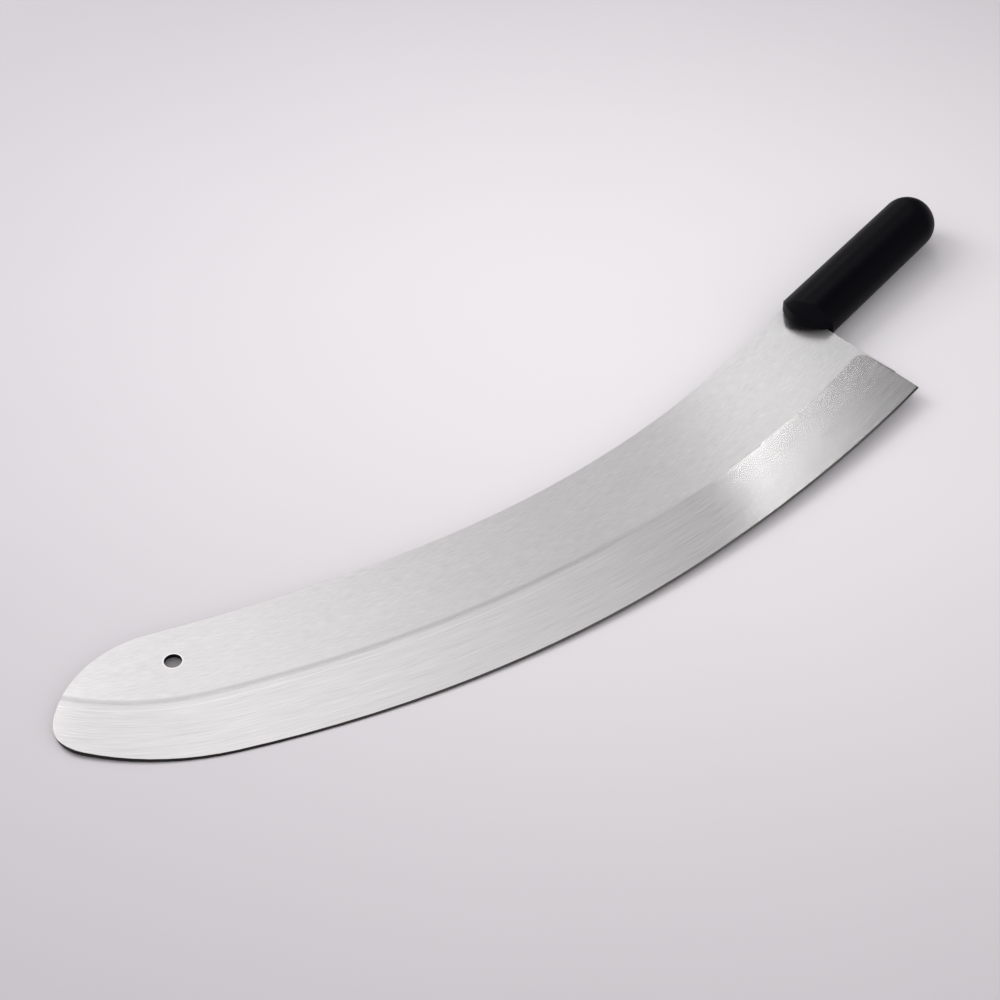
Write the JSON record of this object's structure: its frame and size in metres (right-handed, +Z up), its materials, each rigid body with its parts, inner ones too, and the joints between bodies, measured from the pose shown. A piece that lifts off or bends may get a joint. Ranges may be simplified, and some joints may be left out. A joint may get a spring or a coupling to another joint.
{
  "type": "mincing knife",
  "caption": "Mincing knife: a wide crescent steel blade, ground and sharpened along its curved belly, with a hanging hole near the tip and a black moulded handle.",
  "frame": {"origin": "on the table under the middle of the knife's footprint as it lies on its side", "axes": "+X along the handle towards its butt end, +Y towards the spine, +Z up from the table through the blade's faces; the tip points towards -X and the cutting edge faces -Y"},
  "size_m": [0.6116, 0.2159, 0.0279],
  "materials": {
    "blade_steel": "satin brushed stainless sheet, finer lengthwise grinding on the band above the edge",
    "handle_plastic": "smooth satin black moulded plastic"
  },
  "bodies": {
    "root": {"blade": "blade_steel", "handle": "handle_plastic"}
  },
  "joints": []
}
